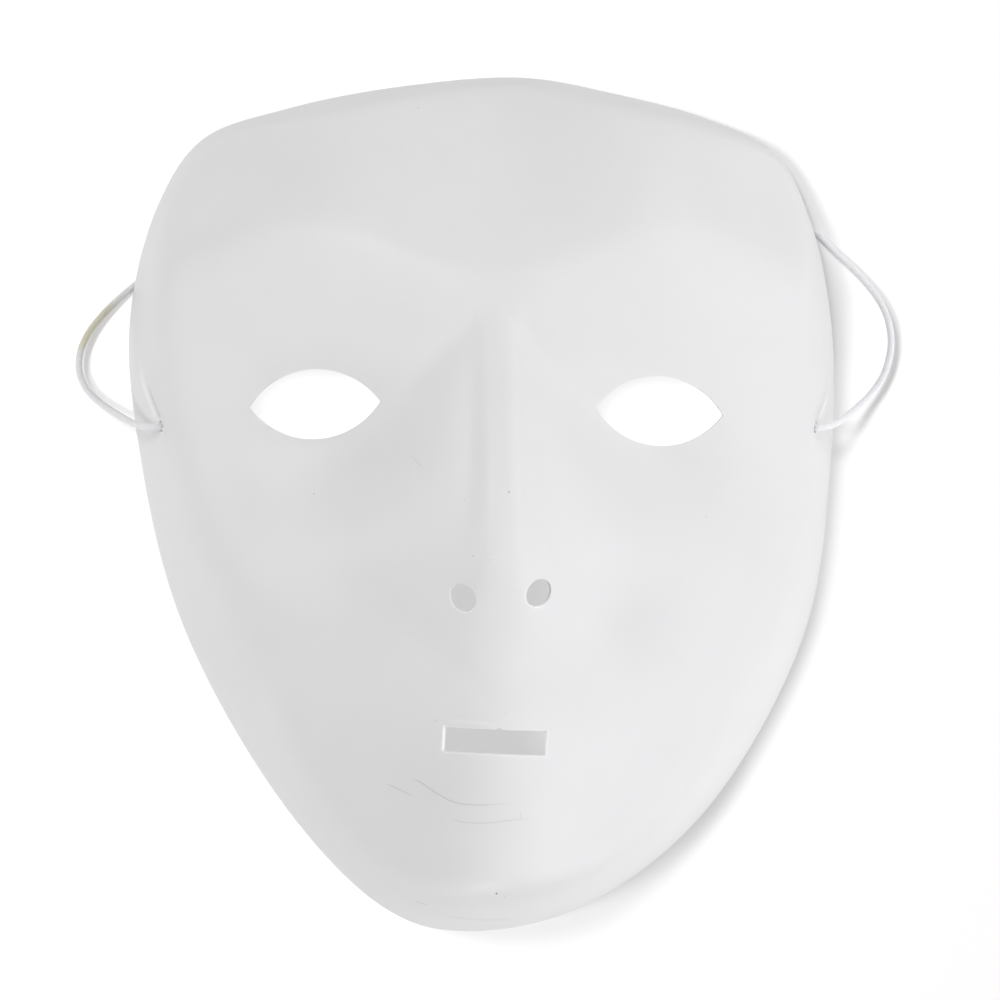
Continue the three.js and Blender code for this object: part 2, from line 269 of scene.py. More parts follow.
# The outer surface: the wall rises from the rim and turns smoothly into the face.
def outerHeight(x, y):
    angle, radius = fromHub(x, y)
    lift = rimHeight(y)
    faceRise = np.maximum(faceHeight(x, y) - lift, wall["leastFace"])
    wallRise = np.maximum(wallSlope(angle) * (rimRadius(angle) - radius), wall["leastWall"])
    return lift + (faceRise ** -wall["turn"] + wallRise ** -wall["turn"]) ** (-1 / wall["turn"])


def outerNormal(x, y, step=0.2):
    slopeX = (outerHeight(x + step, y) - outerHeight(x - step, y)) / (2 * step)
    slopeY = (outerHeight(x, y + step) - outerHeight(x, y - step)) / (2 * step)
    return unit(np.stack([-slopeX, -slopeY, np.ones_like(slopeX)], axis=-1))


def onFace(x, y):
    return np.array([x, y, float(outerHeight(np.float64(x), np.float64(y)))])


# Camera

camera = dict(
    distance=1150,        # lens to table
    aim=(3.9, 1.3),       # the point on the table in the middle of the picture
    left=40.1,            # how far the camera stands to the left of that point
    roll=1.25,            # degrees
    pictureWidth=246.5,   # what the picture's width shows of the table
    sensor=36,
)

aim = Vector((camera["aim"][0] + shift[0], camera["aim"][1] + shift[1], 0)) * mm
eye = aim + Vector((-camera["left"], 0, camera["distance"])) * mm
backward = (eye - aim).normalized()
roll = math.radians(camera["roll"])
sideways = Vector((math.cos(roll), math.sin(roll), 0))
sideways = (sideways - sideways.dot(backward) * backward).normalized()
upward = backward.cross(sideways)
lens = bpy.data.cameras.new("camera")
lens.sensor_width = camera["sensor"]
lens.lens = camera["sensor"] * (eye - aim).length / (camera["pictureWidth"] * mm)
lens.clip_start = 0.05
lens.clip_end = 20
viewer = bpy.data.objects.new("camera", lens)
viewer.matrix_world = Matrix.Translation(eye) @ Matrix((sideways, upward, backward)).transposed().to_4x4()
bpy.context.scene.collection.objects.link(viewer)
bpy.context.scene.camera = viewer
print("camera made")


# The sheet

# High-impact polystyrene sheet, vacuum formed: white pigment, a satin skin from the mould's blasted face,
# and thin enough that a little light comes through.
sheet = dict(
    thickness=0.8,
    cordHole=3,             # diameter
    white="#E7E7E7",
    dirtAndShadeGrey="#5E5C55",  # the grey that dark marks go towards: dirt in the specks, dark lines along the scratches, and painted shade at the chin's step and the crease's foot
    paintedHighlightWhite="#F8F8F8",  # painted highlight: the white that cut edges, creases and the lip's swelling are lightened towards
    edgeGlow=0.3,           # how strongly these painted highlights glow, as painted light
    through=0.25,           # the share of the light that comes through
    cloud=25,               # mm, the faint unevenness of the pigment
    grain=0.55,             # mm, the mould's blasted grain, drawn coarse enough to show
)


# Elastic

# Covered elastic: a rubber core in a braided polyester sleeve, off-white, with the sheen of fine yarn.
elastic = dict(
    diameter=1.7,
    strands=8,            # braid strands round the cord in each direction
    braidTurn=4.6,        # mm of cord for one turn of a strand
    braidDepth=0.012,     # mm between the strands
    sides=24,             # points round the cord
    step=0.2,             # mm from one ring of points to the next
    endReach=0.35,        # each end is rounded down to this share of the radius
    endRows=3,            # over this many rings
    straight=0.8,         # mm that it comes straight out of its hole
    tuck=0.1,             # mm that it goes on behind the sheet
    white="#DDDDDF",
    aged="#CAC7B3",       # a stretch of the left loop has yellowed
    agedAt=(-96.2, 41.6, 3.3),
    agedReach=(4, 10),    # mm; aged all through up to the first, and not at all past the second
    fleck=1.1,            # mm from fleck to fleck; real yarn is finer, so it is drawn coarse enough to show
)
cordHoles = dict(left=(-79, 17.3), right=(79.5, 20.6))
elasticRoute = [
    (-82.3, 17.1, 20.6), (-85.6, 17.8, 15.6), (-90, 20, 9.6), (-94, 22.5, 6.4), (-97.9, 26, 5),
    (-99.9, 30.3, 4.4), (-99.8, 35.3, 4.1), (-98, 39.8, 3.7), (-95.3, 43.7, 3.1), (-91.6, 47.8, 2.3),
    (-86.9, 52.1, 1.5), (-74, 62, 0.95), (-58, 72.5, 0.9), (-40, 80.5, 0.9), (-21, 85.5, 0.9),
    (-1, 87.6, 0.9), (19, 87.2, 0.9), (38, 84.5, 0.9), (55, 80, 0.9), (69, 75, 0.95), (79.8, 69.1, 1.3),
    (84.8, 64.6, 1.9), (89.4, 60.4, 2.7), (92.9, 56.7, 3.3), (95.8, 53, 3.9), (98, 48.8, 4.3),
    (99.1, 43.9, 4.6), (98.9, 39, 4.9), (97.3, 33.8, 5.4), (94.3, 29.4, 6.6), (90.7, 25.9, 9),
    (87.2, 23.2, 13), (83.4, 21.2, 17.9),
]

braidedElastic, tree = emptyMaterial("braidedElastic")
place = addNode(tree, "ShaderNodeNewGeometry").outputs["Position"]
agedCentre = list((elastic["agedAt"] + toOrigin) * mm)
fromAged = addNode(tree, "ShaderNodeVectorMath", {0: place, 1: agedCentre}, operation="DISTANCE")
near = addNode(tree, "ShaderNodeMapRange", {
    "Value": fromAged.outputs["Value"],
    "From Min": elastic["agedReach"][0] * mm, "From Max": elastic["agedReach"][1] * mm,
    "To Min": 1.0, "To Max": 0.0}, interpolation_type="SMOOTHSTEP")
aged = addNode(tree, "ShaderNodeMix", {
    "Factor": near.outputs["Result"], "A": hexColour(elastic["white"]), "B": hexColour(elastic["aged"])},
    data_type="RGBA")
yarn = addNode(tree, "ShaderNodeTexNoise", {
    "Vector": place, "Scale": 1 / (elastic["fleck"] * mm), "Detail": 3})
fibres = addNode(tree, "ShaderNodeMapRange", {
    "Value": yarn.outputs["Fac"], "From Min": 0.3, "From Max": 0.7, "To Min": 0.96, "To Max": 1.02})
tinted = addNode(tree, "ShaderNodeMix", {
    "Factor": 1.0, "A": aged.outputs["Result"], "B": fibres.outputs["Result"]},
    data_type="RGBA", blend_type="MULTIPLY")
fuzz = addNode(tree, "ShaderNodeBump", {
    "Strength": 0.2, "Distance": 0.03 * mm, "Height": yarn.outputs["Fac"]})
cloth = addNode(tree, "ShaderNodeBsdfPrincipled", {
    "Base Color": tinted.outputs["Result"], "Roughness": 0.75, "IOR": 1.5, "Sheen Weight": 0.25,
    "Sheen Roughness": 0.4, "Normal": fuzz.outputs["Normal"]})
addNode(tree, "ShaderNodeOutputMaterial", {"Surface": cloth.outputs["BSDF"]})


def braid(turns, length):
    lean = length / elastic["braidTurn"] * tau
    right = np.cos(elastic["strands"] * (turns + lean))
    left = np.cos(elastic["strands"] * (turns - lean))
    return elastic["braidDepth"] * (np.maximum(right, left) - 1)


# The braided cord along a line, as rings of points with a rounded cap at each end
def sweepCord(line):
    count, sides = len(line), elastic["sides"]
    ahead = unit(np.gradient(line, axis=0))
    across = np.cross(ahead[0], [0, 0, 1.0])
    across /= np.linalg.norm(across)
    lengths = runLengths(line)
    turns = np.arange(sides) / sides * tau
    rows = []
    for i in range(count):
        across = across - ahead[i] * across.dot(ahead[i])
        across /= np.linalg.norm(across)
        other = np.cross(ahead[i], across)
        rounding = math.sqrt(min(i, count - 1 - i) / elastic["endRows"])
        reach = elastic["diameter"] / 2 + braid(turns, lengths[i])
        reach = reach * min(1.0, elastic["endReach"] + (1 - elastic["endReach"]) * rounding)
        ring = np.cos(turns)[:, None] * across + np.sin(turns)[:, None] * other
        rows.append(line[i] + reach[:, None] * ring)
    points = np.concatenate(rows + [line[:1], line[-1:]])
    faces = []
    for i in range(count - 1):
        for j in range(sides):
            k = (j + 1) % sides
            faces.append((i * sides + j, i * sides + k, (i + 1) * sides + k, (i + 1) * sides + j))
    first, last = count * sides, count * sides + 1
    for j in range(sides):
        k = (j + 1) % sides
        faces.append((first, k, j))
        faces.append((last, (count - 1) * sides + j, (count - 1) * sides + k))
    return points, faces


# The line drawn again in even steps, and its length
def evenSteps(line, step):
    lengths = runLengths(line)
    wanted = np.linspace(0, lengths[-1], int(round(lengths[-1] / step)) + 1)
    columns = [np.interp(wanted, lengths, line[:, i]) for i in range(line.shape[1])]
    return np.stack(columns, axis=1), lengths[-1]


# At a cord hole: the way out of the sheet, and two ways along it
def holeWays(hole):
    x, y = cordHoles[hole]
    out = outerNormal(np.array([x], float), np.array([y], float))[0]
    along = np.cross([0, 0, 1.0], out)
    along /= np.linalg.norm(along)
    return out, along, np.cross(out, along)


def inwards(hole, depth):
    return onFace(*cordHoles[hole]) - holeWays(hole)[0] * depth


endDepth = sheet["thickness"] + elastic["tuck"]
route = ([inwards("left", endDepth), inwards("left", -elastic["straight"])]
         + [np.array(p, float) for p in elasticRoute]
         + [inwards("right", -elastic["straight"]), inwards("right", endDepth)])
cordLine, cordLength = evenSteps(smoothLine(route, perSpan=40, closed=False), elastic["step"])
cordLine = cordLine + toOrigin
cordPiece = makeObject("elastic", *sweepCord(cordLine), braidedElastic, "elastic")
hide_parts("elastic_cord")


# The stop knot: an overhand knot drawn up inside the wall
knot = dict(
    reach=2.12,           # how far the knot's curve is followed to either side of its middle
    width=1.02, height=0.66, depth=0.36,
    points=24,            # places on the curve that the cord is drawn through
    gap=0.2,              # mm to the sheet
    overlap=0.4,          # mm that it starts inside the cord's own end
)


def stopKnot(hole):
    out, along, down = holeWays(hole)
    t = np.linspace(-knot["reach"], knot["reach"], knot["points"])
    loop = np.stack([knot["width"] * (t ** 3 - 3 * t), knot["height"] * (t ** 4 - 4 * t ** 2),
                     knot["depth"] * (t ** 5 / 5 - 2 * t)], axis=1)
    loop = loop - (loop.min(axis=0) + loop.max(axis=0)) / 2
    centre = inwards(hole, sheet["thickness"] + knot["gap"] + elastic["diameter"] / 2 + loop[:, 2].max())
    line = centre + loop[:, :1] * along + loop[:, 1:2] * down + loop[:, 2:] * out
    start = inwards(hole, endDepth - knot["overlap"])
    if np.linalg.norm(line[-1] - start) < np.linalg.norm(line[0] - start):
        line = line[::-1]
    line = smoothLine(np.concatenate([[start], line]), perSpan=12, closed=False)
    line = evenSteps(line, elastic["step"])[0]
    piece = makeObject("stopKnot." + hole, *sweepCord(line + toOrigin), braidedElastic, "elastic")
    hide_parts("knot_" + hole)
    return piece


knotPieces = [stopKnot("left"), stopKnot("right")]
leavesAt = (inwards("left", 0) + toOrigin) * mm
print("elastic made", round(cordLength, 1))


# Mask

eyes = [
    dict(x=-42.2, y=22.9, halfWidth=15.6, up=8.4, down=8.1, tilt=3.7),
    dict(x=39.9, y=23.1, halfWidth=15.6, up=8.4, down=8.1, tilt=-1.7),
]
nostrils = [
    dict(x=-6.4, y=-21.7, wide=5.6, tall=7, tilt=30),
    dict(x=11.2, y=-20.2, wide=5.6, tall=7, tilt=-30),
]
mouth = dict(x=2.05, y=-55.3, wide=24.1, tall=5.9, tilt=-1.2, step=0.3)
nick = dict(x=0.7, reach=0.7, deep=0.45)     # a nick that the punch left in the slot's upper edge

# Marks on the sheet, drawn in plan: a line, its width, its relief (below zero is a groove) and how dark or
# how white it is. The last number is how far its ends fade. The white is painted highlight, and the dark of
# the chin's step and the crease's foot is painted shade.
marks = dict(
    lowerScratch=dict(line=[(-17.6, -64.7), (-15.3, -65.5), (-12.4, -67.3), (-10.6, -68.4), (-8.2, -69.6),
                            (-6, -70.2), (-2.9, -70.4), (0.3, -70.3), (4.1, -70), (8, -69.7)],
                      width=0.42, relief=-0.04, dark=0.3, white=0, fade=(2, 12)),
    shortScratch=dict(line=[(-23.5, -66.2), (-21.5, -67.1), (-19.4, -67.9), (-16.4, -69.3)],
                      width=0.42, relief=-0.03, dark=0.26, white=0, fade=(2, 2)),
    faintScratch=dict(line=[(-8.4, -73.6), (-5.9, -74.5), (-3.1, -74.7), (1.1, -74.6), (5, -74.1),
                            (8.2, -73.7), (9.9, -73.4), (12.1, -73.1)],
                      width=0.42, relief=-0.02, dark=0.17, white=0, fade=(3, 5)),
    scratchHook=dict(line=[(8.6, -71.8), (8.5, -73.2), (9.1, -74.4)],
                     width=0.42, relief=-0.02, dark=0.17, white=0, fade=(0.8, 0.8)),
    chinNick=dict(line=[(-15.7, -95.2), (-14, -95.6), (-12.2, -96.1)],
                  width=0.42, relief=-0.02, dark=0.22, white=0, fade=(1, 1)),
    noseScratch=dict(line=[(-19.4, 11.6), (-17.7, 9.8), (-15.9, 7.9)],
                     width=0.5, relief=-0.03, dark=0.12, white=0, fade=(1.5, 1.5)),
    # A groove at the chin, its dark line painted shade
    chinStep=dict(line=[(-9.3, -98.9), (-5.6, -99.7), (-2.3, -100.2), (0.8, -100.5), (4.6, -100.7),
                        (7.4, -100.6), (9.9, -100.2)],
                  width=1.3, relief=-0.09, dark=0.08, white=0, fade=(5, 5)),
    # A slight swelling above the slot, with a painted highlight along it
    lipSwelling=dict(line=[(-9.6, -50.9), (-6.4, -50.7), (-2.2, -50.9), (3, -51.3)],
                     width=1.4, relief=0.04, dark=0, white=0.12, fade=(1.5, 5)),
    # A fold beside the left cord hole, with a painted highlight along it
    leftCrease=dict(line=[(-80.2, 19.3), (-81.7, 22.5), (-83.2, 25.9), (-84.4, 30.2), (-84.8, 34.5)],
                    width=1.5, relief=0.16, dark=0, white=0.25, fade=(1, 9)),
    # A groove at the fold's foot, with a painted shadow line along it
    leftCreaseFoot=dict(line=[(-79.2, 19.3), (-80.6, 22.2), (-81.8, 25.1), (-82.7, 28.2)],
                        width=0.6, relief=-0.06, dark=0.35, white=0, fade=(0.6, 5)),
    # A fold beside the right cord hole, with a painted highlight along it
    rightCrease=dict(line=[(80.2, 22.5), (81.5, 24.8), (82.8, 27.2), (83.3, 30)],
                     width=0.9, relief=0.1, dark=0, white=0.35, fade=(0.8, 4)),
)
specks = [  # x, y, diameter, how dark
    (3.5, -91.8, 0.55, 0.95), (5.6, -92.6, 0.45, 0.2), (12.1, -93.2, 0.4, 0.15), (-12, -50.8, 0.45, 0.22),
    (4.2, -48.4, 0.4, 0.14), (3.6, 3.2, 0.6, 0.4), (-41.7, 1.8, 0.45, 0.3), (-4.4, -11.8, 0.45, 0.25),
    (-6.5, 1.1, 0.4, 0.15), (51.7, -1.6, 0.45, 0.2), (-18.8, 95.3, 0.5, 0.25), (-0.5, -12.6, 0.4, 0.2),
]
# How much painted highlight the sheet gets at its cut edges; it also glows a little as painted light. A
# nostril's edge is lit whitest where it faces the lower left. The slot's sides have a second number for a
# painted highlight on a line just off the edge, where the punch has turned up the left one.
cutEdgeHighlight = dict(eye=0.1, cord=0.35, nostril=0.45, nostrilAll=0.3, nostrilLean=0.7,
                 slotTop=(0.1, 0), slotLow=(0.3, 0.05), slotLeft=(0.75, 0.5))
# How the mask's points are laid: rings that follow the rim, closer together up the wall, then an even field
net = dict(
    spokes=640,           # points in a ring
    first=(0.15, 0.4),    # mm in from the rim, of the first rings
    wallStart=0.8, wallEnd=15, wallStep=0.4,
    blendEnd=21, growth=1.2,      # from there each ring's step grows, up to the field's pitch
    pitch=1.15, rowShare=0.866,   # the field's triangles: their side, and their height as a share of it
    fieldBox=(100, 110), fieldGap=0.6,      # half its size, and its distance from the last ring
    markGap=0.3,          # free points are left out this near to a mark
    keepOff=1.0,          # and this near to a punched edge
    edgeRings=(0.25, 0.6),        # mm off a punched edge
    cordRings=(1.18, 1.35),       # round a cord hole, as shares of its size
    onRim=0.03,           # mm; points nearer to the rim lie on it
    weld=1e-6, thinnest=1e-7,     # points nearer than this are one, and thinner triangles are left out
)
# Across a mark: how far out in half widths, and what is left of its strength there
markSection = [(0, 1), (0.55, 0.45), (-0.55, 0.45), (1.1, 0), (-1.1, 0)]
# A speck: the points in each of its two rings, their sizes as shares of its own, its relief and its darkness
speckSection = dict(points=7, relief=0.05, inner=0.6, innerRelief=0.03, innerDark=0.9, outer=1.15)


def placed(points, hole):
    a = math.radians(hole["tilt"])
    x, y = points[:, 0], points[:, 1]
    return np.stack([hole["x"] + x * math.cos(a) - y * math.sin(a),
                     hole["y"] + x * math.sin(a) + y * math.cos(a)], 1)


def eyeLoop(eye, count=46):
    halves = []
    for rise, turn in ((eye["up"], 1), (eye["down"], -1)):
        radius = (eye["halfWidth"] ** 2 + rise ** 2) / (2 * rise)
        half = math.asin(eye["halfWidth"] / radius)
        a = turn * math.pi / 2 + np.linspace(-half, half, count + 1)[:-1]
        halves.append(np.stack([radius * np.cos(a), turn * (rise - radius) + radius * np.sin(a)], 1))
    return placed(np.concatenate(halves), eye)


def nostrilLoop(nostril, count=44):
    a = np.arange(count) / count * tau
    return placed(np.stack([nostril["wide"] / 2 * np.cos(a), nostril["tall"] / 2 * np.sin(a)], 1), nostril)


def slotLoop(slot):
    w, h = slot["wide"] / 2, slot["tall"] / 2
    corners = [(-w, -h), (w, -h), (w, h), (-w, h)]
    points = []
    for (x0, y0), (x1, y1) in zip(corners, corners[1:] + corners[:1]):
        n = int(round(math.hypot(x1 - x0, y1 - y0) / slot["step"]))
        points += [(x0 + (x1 - x0) * i / n, y0 + (y1 - y0) * i / n) for i in range(n)]
    points = np.array(points)
    top = points[:, 1] == h
    points[top, 1] += nick["deep"] * np.maximum(1 - ((points[top, 0] - nick["x"]) / nick["reach"]) ** 2, 0)
    return placed(points, slot)


def cordHoleLoop(hole, count=28):
    out, along, down = holeWays(hole)
    a = np.arange(count) / count * tau
    ring = sheet["cordHole"] / 2 * (np.cos(a)[:, None] * along + np.sin(a)[:, None] * down)
    loop = np.array(cordHoles[hole]) + ring[:, :2]
    area = np.sum(loop[:, 0] * np.roll(loop[:, 1], -1) - loop[:, 1] * np.roll(loop[:, 0], -1))
    return loop if area > 0 else loop[::-1]


# The painted highlight at each point of a nostril's edge
def nostrilHighlights(loop):
    facing = unit(loop - loop.mean(axis=0)).sum(axis=1)
    share = cutEdgeHighlight["nostrilAll"] - facing * cutEdgeHighlight["nostrilLean"]
    return cutEdgeHighlight["nostril"] * np.clip(share, 0, 1)


# The painted highlight along the slot's edge, side by side from the lower left corner
def slotHighlights(slot, row):
    across, down = round(slot["wide"] / slot["step"]), round(slot["tall"] / slot["step"])
    sides = ("slotLow", "slotLow", "slotTop", "slotLeft")
    return np.repeat([cutEdgeHighlight[side][row] for side in sides], [across, down, across, down])


# The loop moved outwards by a distance, in plan
def grown(loop, distance):
    ahead = np.roll(loop, -1, axis=0) - np.roll(loop, 1, axis=0)
    return loop + distance * unit(np.stack([ahead[:, 1], -ahead[:, 0]], 1))


def within(points, loop):
    inside = np.zeros(len(points), bool)
    x, y = points[:, 0], points[:, 1]
    for (x0, y0), (x1, y1) in zip(loop, np.roll(loop, -1, axis=0)):
        if y0 != y1:
            inside ^= ((y0 > y) != (y1 > y)) & (x < (x1 - x0) * (y - y0) / (y1 - y0) + x0)
    return inside


# The rows of points that draw one mark, with relief, dark and painted highlight for each point
def markRows(mark, step=0.3):
    line, length = evenSteps(smoothLine(mark["line"], perSpan=24, closed=False), step)
    ahead = unit(np.gradient(line, axis=0))
    out = np.stack([-ahead[:, 1], ahead[:, 0]], 1) * mark["width"] / 2
    along = np.linspace(0, length, len(line))
    strength = ease(along / mark["fade"][0]) * ease((length - along) / mark["fade"][1])
    core = strength[:, None] * [mark["relief"], mark["dark"], mark["white"]]
    points = np.concatenate([line + out * far for far, share in markSection])
    return points, np.concatenate([core * share for far, share in markSection])


def speckRows(x, y, diameter, dark):
    section, count = speckSection, speckSection["points"]
    a = np.arange(count) / count * tau
    ring = np.stack([np.cos(a), np.sin(a)], 1) * diameter / 2
    points = np.concatenate([[(0, 0)], ring * section["inner"], ring * section["outer"]]) + [x, y]
    values = [(section["relief"], dark, 0)]
    values += [(section["innerRelief"], section["innerDark"] * dark, 0)] * count
    values += [(0, 0, 0)] * count
    return points, np.array(values)


def rimPoints():
    closed = np.concatenate([rimLine, rimLine[:1]])
    lengths = runLengths(closed)
    wanted = np.arange(net["spokes"]) / net["spokes"] * lengths[-1]
    return np.stack([np.interp(wanted, lengths, closed[:, i]) for i in range(2)], 1)[::-1]


# The free points: the rings inside the rim, then a field of even triangles over the face
def freePoints(rim):
    angles, radii = fromHub(rim[:, 0], rim[:, 1])
    steps = list(net["first"]) + list(np.arange(net["wallStart"], net["wallEnd"], net["wallStep"]))
    while steps[-1] < net["blendEnd"]:
        steps.append(steps[-1] + min(net["pitch"], (steps[-1] - steps[-2]) * net["growth"]))
    rays = np.stack([np.cos(angles), np.sin(angles)], 1)
    rings = [hub + rays * (radii - inside)[:, None] for inside in steps]
    halfWide, halfTall = net["fieldBox"]
    xs, ys = np.meshgrid(np.arange(-halfWide, halfWide, net["pitch"]),
                         np.arange(-halfTall, halfTall, net["pitch"] * net["rowShare"]))
    xs[1::2] += net["pitch"] / 2
    field = np.stack([xs.ravel(), ys.ravel()], 1)
    field = field[insideRim(field[:, 0], field[:, 1]) > steps[-1] + net["fieldGap"]]
    return np.concatenate(rings + [field])


def clearedOf(free, drawn, gap, batch=200):
    for start in range(0, len(drawn), batch):
        part = drawn[start:start + batch]
        away = np.hypot(free[:, None, 0] - part[:, 0], free[:, None, 1] - part[:, 1]).min(axis=1)
        free = free[away > gap]
    return free


# The same painted highlight for every point, or one for each, as values for relief, dark and highlight
def highlightRows(white, count):
    return np.outer(white * np.ones(count), (0, 0, 1))


# The sheet in plan: its points, its triangles, and the relief, dark and painted highlight of each point
def maskNet():
    rim = rimPoints()
    free = freePoints(rim)
    punched = [(eyeLoop(eye), cutEdgeHighlight["eye"], 0) for eye in eyes]
    for loop in [nostrilLoop(nostril) for nostril in nostrils]:
        punched.append((loop, nostrilHighlights(loop), 0))
    punched.append((slotLoop(mouth), slotHighlights(mouth, 0), slotHighlights(mouth, 1)))
    cordLoops = [cordHoleLoop("left"), cordHoleLoop("right")]
    extra = [markRows(mark) for mark in marks.values()] + [speckRows(*speck) for speck in specks]
    free = clearedOf(free, np.concatenate([points for points, values in extra]), net["markGap"])
    for loop, atEdge, offEdge in punched:
        free = free[~within(free, grown(loop, net["keepOff"]))]
        for distance, white in zip(net["edgeRings"], (offEdge, 0)):
            extra.append((grown(loop, distance), highlightRows(white, len(loop))))
    for loop in cordLoops:
        centre = loop.mean(axis=0)
        near, far = net["cordRings"]
        free = free[~within(free, centre + (loop - centre) * far)]
        extra.append((centre + (loop - centre) * near, highlightRows(0, len(loop))))
    loops = [row[0] for row in punched] + cordLoops
    loopHighlights = [row[1] for row in punched] + [cutEdgeHighlight["cord"]] * len(cordLoops)
    points = [rim]
    values = [highlightRows(0, len(rim))]
    edges = [(i, (i + 1) % len(rim)) for i in range(len(rim))]
    for loop, white in zip(loops, loopHighlights):
        base = sum(map(len, points))
        points.append(loop)
        values.append(highlightRows(white, len(loop)))
        edges += [(base + i, base + (i + 1) % len(loop)) for i in range(len(loop))]
    points = np.concatenate(points + [row[0] for row in extra] + [free])
    values = np.concatenate(values + [row[1] for row in extra] + [highlightRows(0, len(free))])
    made = delaunay_2d_cdt([Vector(p) for p in points.tolist()], edges, [], 0, net["weld"])
    plan = np.array([tuple(v) for v in made[0]])
    values = np.array([values[sources[0]] if len(sources) else (0, 0, 0) for sources in made[3]])
    triangles = np.array([list(f) for f in made[2]])
    corners = plan[triangles]
    ahead, back = corners[:, 1] - corners[:, 0], corners[:, 2] - corners[:, 0]
    turned = ahead[:, 0] * back[:, 1] - ahead[:, 1] * back[:, 0]
    triangles[turned < 0] = triangles[turned < 0][:, ::-1]
    centres = corners.mean(axis=1)
    keep = within(centres, rim) & (np.abs(turned) > net["thinnest"])
    for loop in loops:
        keep &= ~within(centres, loop)
    return plan, triangles[keep], values


# The sheet as one closed piece: its outer and inner faces, joined along the rim and round every hole
def maskShell(material):
    plan, triangles, values = maskNet()
    print("net", len(plan), "points", len(triangles), "triangles")
    x, y = plan[:, 0], plan[:, 1]
    outer = np.stack([x, y, outerHeight(x, y)], 1)
    normal = outerNormal(x, y)
    inner = outer - normal * sheet["thickness"]
    outer += normal * values[:, :1]
    rim = insideRim(x, y) < net["onRim"]
    outer[rim, 2] = rimHeight(y[rim])
    inner[:, 2] = np.where(rim, rimHeight(y), np.maximum(inner[:, 2], rimHeight(y)))
    count = len(plan)
    faces = triangles.tolist() + (triangles[:, ::-1] + count).tolist()
    sides = np.concatenate([triangles[:, [0, 1]], triangles[:, [1, 2]], triangles[:, [2, 0]]])
    known = set(map(tuple, sides.tolist()))
    border = sorted((a, b) for a, b in known if (b, a) not in known)
    faces += [(b, a, a + count, b + count) for a, b in border]
    points = np.concatenate([outer, inner]) + toOrigin
    piece = makeObject("maskSheet", points, faces, material, "white_sheet")
    sharp = {tuple(sorted(pair)) for pair in border}
    sharp |= {(a + count, b + count) for a, b in sharp}
    for edge in piece.data.edges:
        if tuple(sorted(edge.vertices)) in sharp:
            edge.use_edge_sharp = True
    # The marks' dark (dirt, and painted shade) and their painted highlight go to the material as point values
    for column, name in ((1, "dark"), (2, "white")):
        spread = piece.data.attributes.new(name, "FLOAT", "POINT")
        inside = np.where(np.isin(np.arange(count), border), values[:, column], 0)
        spread.data.foreach_set("value", np.concatenate([values[:, column], inside]))
    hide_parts("mask_shell")
    return piece


polystyreneSheet, tree = emptyMaterial("polystyreneSheet")
place = addNode(tree, "ShaderNodeNewGeometry").outputs["Position"]
cloud = addNode(tree, "ShaderNodeTexNoise", {
    "Vector": place, "Scale": 1 / (sheet["cloud"] * mm), "Detail": 2})
shade = addNode(tree, "ShaderNodeMapRange", {
    "Value": cloud.outputs["Fac"], "From Min": 0.3, "From Max": 0.7, "To Min": 0.99, "To Max": 1.01})
sheetColour = addNode(tree, "ShaderNodeMix", {
    "Factor": 1.0, "A": hexColour(sheet["white"]), "B": shade.outputs["Result"]},
    data_type="RGBA", blend_type="MULTIPLY")
# The marks darken the sheet towards a grey (dirt in the specks, dark lines along the scratches, painted shade
# at the chin's step and the crease's foot) and lighten it with painted highlight.
darkMark = addNode(tree, "ShaderNodeAttribute", attribute_name="dark").outputs["Fac"]
highlightMark = addNode(tree, "ShaderNodeAttribute", attribute_name="white").outputs["Fac"]
dirtAndShadeMix = addNode(tree, "ShaderNodeMix", {
    "Factor": darkMark, "A": sheetColour.outputs["Result"], "B": hexColour(sheet["dirtAndShadeGrey"])},
    data_type="RGBA")
marked = addNode(tree, "ShaderNodeMix", {
    "Factor": highlightMark, "A": dirtAndShadeMix.outputs["Result"], "B": hexColour(sheet["paintedHighlightWhite"])},
    data_type="RGBA")
# Painted light: the highlighted places glow as emission
edgeGlow = addNode(tree, "ShaderNodeMath", {0: highlightMark, 1: sheet["edgeGlow"]}, operation="MULTIPLY")
grain = addNode(tree, "ShaderNodeTexNoise", {
    "Vector": place, "Scale": 1 / (sheet["grain"] * mm), "Detail": 2})
skin = addNode(tree, "ShaderNodeBump", {
    "Strength": 0.15, "Distance": 0.02 * mm, "Height": grain.outputs["Fac"]})
plastic = addNode(tree, "ShaderNodeBsdfPrincipled", {
    "Base Color": marked.outputs["Result"], "Roughness": 0.5, "IOR": 1.59,
    "Emission Color": (1, 1, 1, 1), "Emission Strength": edgeGlow.outputs["Value"],
    "Normal": skin.outputs["Normal"]})
through = addNode(tree, "ShaderNodeBsdfTranslucent", {"Color": marked.outputs["Result"]})
sheetMix = addNode(tree, "ShaderNodeMixShader", {
    0: sheet["through"], 1: plastic.outputs["BSDF"], 2: through.outputs["BSDF"]})
addNode(tree, "ShaderNodeOutputMaterial", {"Surface": sheetMix.outputs["Shader"]})

maskPiece = maskShell(polystyreneSheet)
print("mask made")


# Table and light

table = dict(size=3000, colour="#B4B2B2", glow=0.43)     # a lit table, so it stays white round the shadow
paleTable, tree = emptyMaterial("paleTable")
paper = addNode(tree, "ShaderNodeBsdfPrincipled", {
    "Base Color": hexColour(table["colour"]), "Roughness": 0.9, "Specular IOR Level": 0.2,
    "Emission Color": (1, 1, 1, 1), "Emission Strength": table["glow"]})
addNode(tree, "ShaderNodeOutputMaterial", {"Surface": paper.outputs["BSDF"]})
half = table["size"] / 2 * mm
corners = [(-half, -half, 0), (half, -half, 0), (half, half, 0), (-half, half, 0)]
tableMesh = bpy.data.meshes.new("table")
tableMesh.from_pydata(corners, [], [(0, 1, 2, 3)])
tableMesh.materials.append(paleTable)
tableTop = bpy.data.objects.new("table", tableMesh)
bpy.context.scene.collection.objects.link(tableTop)

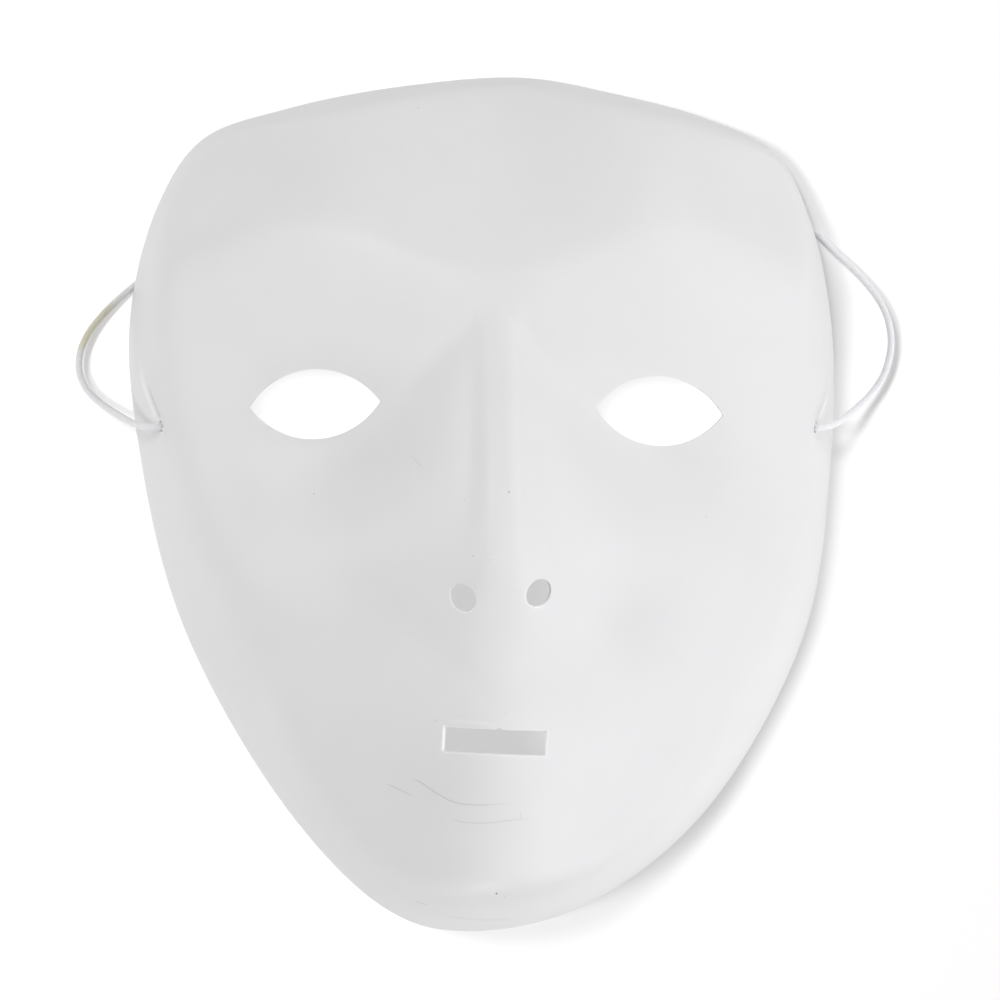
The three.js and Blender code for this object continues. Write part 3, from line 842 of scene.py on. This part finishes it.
# The table and the mask have lights of their own: the table's throw a soft shadow to the lower right, and the
# mask's reach it evenly from all round.
# name: (what it lights, azimuth from +X, elevation, distance m, size m, watts, colour)
lights = dict(
    tableOverhead=("table", 90, 88, 1.6, 1.2, 4, "#FFFFFF"),
    tableLeft=("table", 180, 65, 3.2, 0.6, 74.5, "#FFFFFF"),
    tableUpperLeft=("table", 137, 66.5, 3.2, 0.6, 56, "#FFFFFF"),
    highUpperLeft=("mask", 135, 60, 1.6, 0.45, 10.1, "#FFFFFF"),
    highRight=("mask", 0, 60, 1.6, 0.45, 3, "#FDFDFF"),
    left=("mask", 180, 30, 1.6, 1.0, 11.9, "#FFFFFF"),
    right=("mask", 0, 30, 1.6, 1.0, 8, "#FDFDFF"),
    upperRight=("mask", 45, 30, 1.6, 1.0, 10.1, "#FDFDFF"),
    lowerRight=("mask", -45, 30, 1.6, 1.0, 5.4, "#FDFDFF"),
    lowLowerRight=("mask", -45, 11, 1.6, 0.5, 4.7, "#FDFDFF"),
    lowBottom=("mask", -90, 11, 1.6, 0.5, 7.7, "#FDFDFF"),
)
litBy = dict(table=bpy.data.collections.new("litTable"), mask=bpy.data.collections.new("litMask"))
litBy["table"].objects.link(tableTop)
for piece in [maskPiece, cordPiece] + knotPieces:
    litBy["mask"].objects.link(piece)


def addLight(name, lit, shape, size, power, colour, place, way):
    data = bpy.data.lights.new(name, "AREA")
    data.shape = shape
    data.size = size[0]
    data.size_y = size[1]
    data.energy = power
    data.color = hexColour(colour)[:3]
    lamp = bpy.data.objects.new(name, data)
    lamp.location = place
    lamp.rotation_mode = "QUATERNION"
    lamp.rotation_quaternion = way.to_track_quat("Z", "Y")
    lamp.visible_camera = False
    lamp.light_linking.receiver_collection = litBy[lit]
    bpy.context.scene.collection.objects.link(lamp)


for name, (lit, azimuth, elevation, distance, size, power, colour) in lights.items():
    a, e = math.radians(azimuth), math.radians(elevation)
    way = Vector((math.cos(a) * math.cos(e), math.sin(a) * math.cos(e), math.sin(e)))
    addLight(name, lit, "DISK", (size, size), power, colour, way * distance, way)

# Two small lights under the mask keep the table as white behind the eyes as it is outside.
underEye = dict(places=[(-41, 21.8), (43.8, 22)], height=9, size=(33, 17), power=0.0032, colour="#FFFFFF")
for number, (x, y) in enumerate(underEye["places"]):
    wide, tall = underEye["size"]
    spot = Vector((x, y, underEye["height"]) + toOrigin) * mm
    addLight("underEye%d" % number, "table", "ELLIPSE", (wide * mm, tall * mm), underEye["power"],
             underEye["colour"], spot, Vector((0, 0, 1)))

bpy.context.scene.view_settings.view_transform = "Standard"
print("light made")
